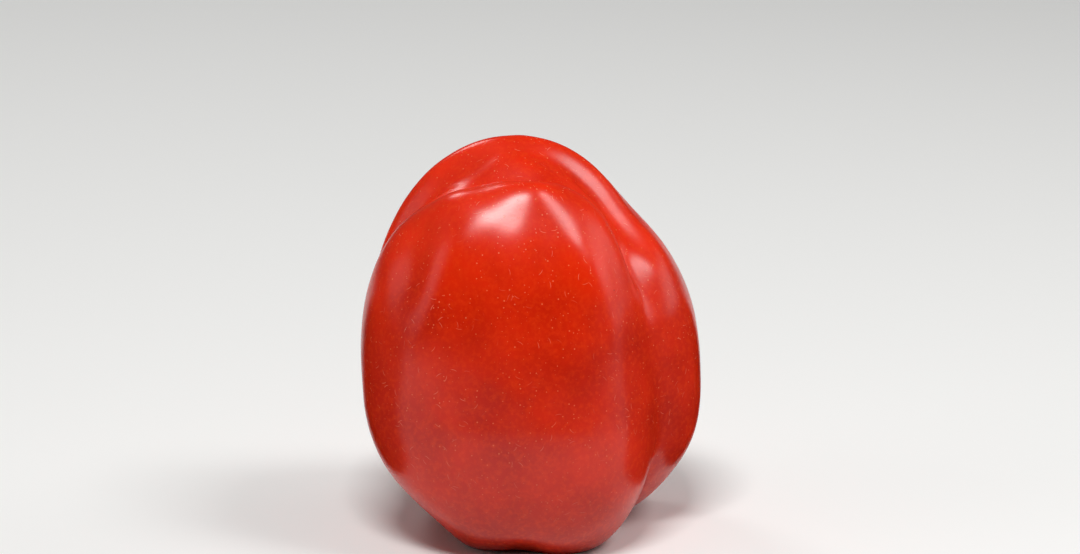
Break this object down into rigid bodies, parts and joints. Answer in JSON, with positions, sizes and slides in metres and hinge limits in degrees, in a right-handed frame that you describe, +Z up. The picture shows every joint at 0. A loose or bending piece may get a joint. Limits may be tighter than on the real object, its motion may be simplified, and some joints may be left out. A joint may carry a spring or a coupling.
{
  "type": "tomato",
  "caption": "Ripe plum tomato standing on its stem end, with lobes divided by a furrow over the narrower top and a hollow with a corky scar underneath.",
  "frame": {"origin": "middle of the fruit's bounding box in plan, on the surface that it stands on", "axes": "+Z up from the stem end to the blossom end, +X to the right and -Y towards the viewer in the picture"},
  "size_m": [0.0551, 0.0478, 0.0635],
  "materials": {
    "tomato_skin": "smooth waxy skin, glossy with a soft sheen"
  },
  "bodies": {
    "root": {"tomato": "tomato_skin"}
  },
  "joints": []
}
